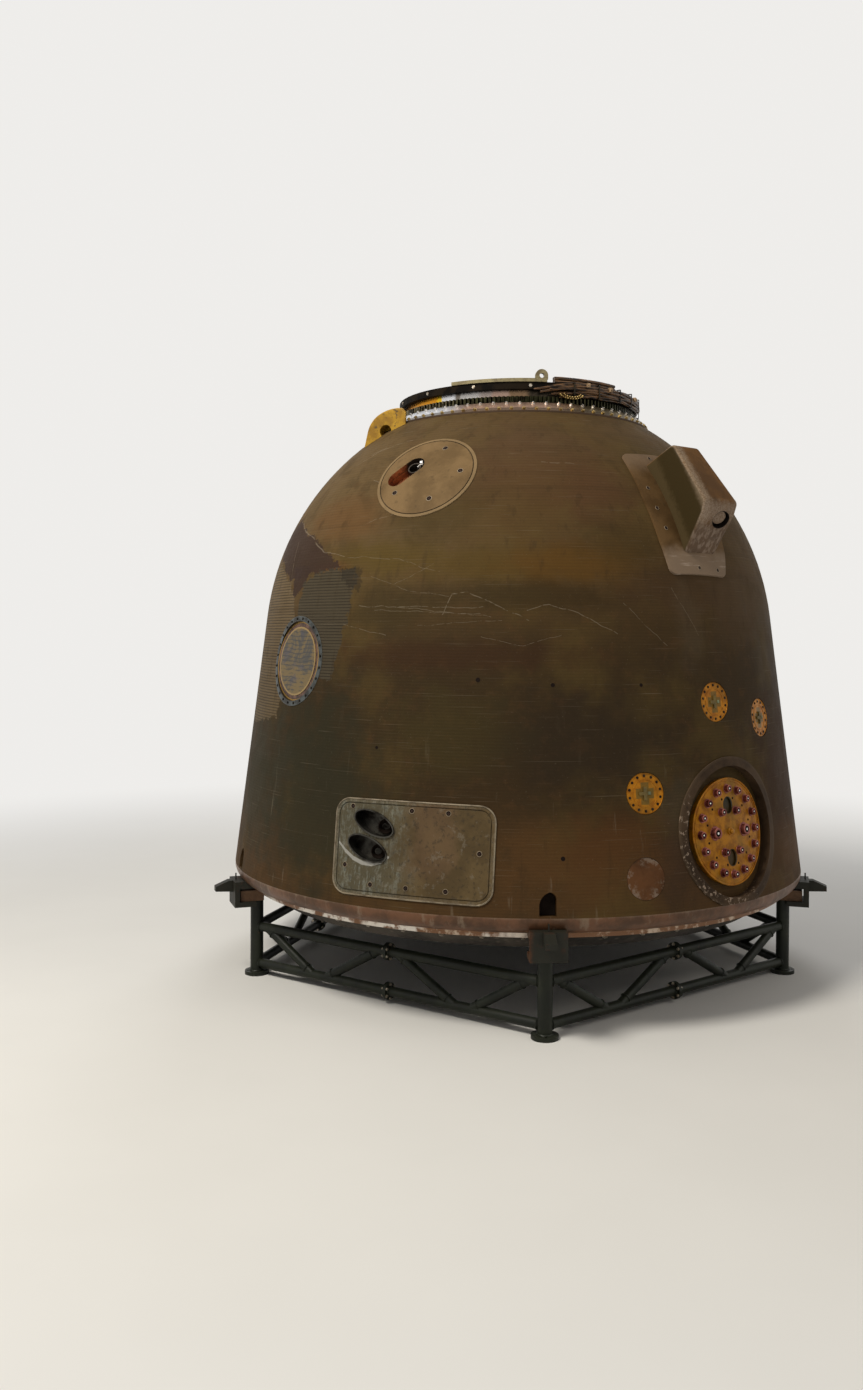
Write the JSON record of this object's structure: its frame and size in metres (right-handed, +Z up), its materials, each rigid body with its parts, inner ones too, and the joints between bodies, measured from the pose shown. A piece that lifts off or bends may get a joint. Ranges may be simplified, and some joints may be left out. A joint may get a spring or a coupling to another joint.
{
  "type": "space capsule",
  "caption": "Flown space capsule with a burnt hull, bolted hatch ring and inward lid, held by lip locks on a tube truss display stand.",
  "frame": {"origin": "centre of the circle of the stand's foot bolts, on the capsule's axis at the floor", "axes": "+Z up along the capsule's axis, -Y towards the front lock and leg"},
  "size_m": [2.5936, 2.6091, 2.5306],
  "materials": {
    "hull_skin": "burnt resin and cloth",
    "pale_skin": "worn pale",
    "tan_plate": "matt tan",
    "bare_metal": "satin",
    "dark_metal": "dark satin",
    "yellow_metal": "satin yellow",
    "rust_plate": "matt worn",
    "window_glass": "dark gloss",
    "stand_paint": "dark green satin",
    "cable_sheath": "matt"
  },
  "bodies": {
    "capsule": {"base_dish": "tan_plate", "base_ring": "pale_skin", "chord_joints": "stand_paint", "chute_bay": "dark_metal", "chute_rim": "hull_skin", "cover_jet": "bare_metal", "diagonals": "stand_paint", "dome_shell": "hull_skin", "fairing_base": "tan_plate", "fairing_body": "tan_plate", "hatch_flange": "bare_metal", "hatch_neck": "bare_metal", "hatch_seat": "bare_metal", "hatch_top_ring": "dark_metal", "high_chords": "stand_paint", "hinge_ears": "dark_metal", "hinge_pin": "bare_metal", "landing_motors": "bare_metal", "lip_flange": "bare_metal", "lock_blocks": "rust_plate", "lock_brackets": "stand_paint", "lock_pins": "bare_metal", "lock_pocket_liners": "dark_metal", "lock_tongues": "stand_paint", "low_chords": "stand_paint", "plate_crosses": "bare_metal", "porthole_frames": "yellow_metal", "porthole_glass": "window_glass", "ring_cables": "cable_sheath", "ring_plate": "tan_plate", "round_cover": "tan_plate", "round_plates": "yellow_metal", "side_wall": "hull_skin", "stand_feet": "stand_paint", "stand_legs": "stand_paint", "thruster_nozzles": "bare_metal", "thruster_panels": "hull_skin", "toothed_ring": "dark_metal", "umbilical_pins": "bare_metal", "umbilical_plate": "yellow_metal", "umbilical_rim": "tan_plate", "worn_plate": "rust_plate", "yellow_hood": "yellow_metal"},
    "hatch": {"hatch_lid": "bare_metal", "lid_arm": "dark_metal", "lid_wheel": "bare_metal"}
  },
  "joints": [
    {"name": "hatch_hinge", "type": "hinge", "parent": "capsule", "child": "hatch", "pos_m": [0, -0.452, 2.28], "axis": [-1, 0, 0], "range_deg": [0, 95]}
  ]
}
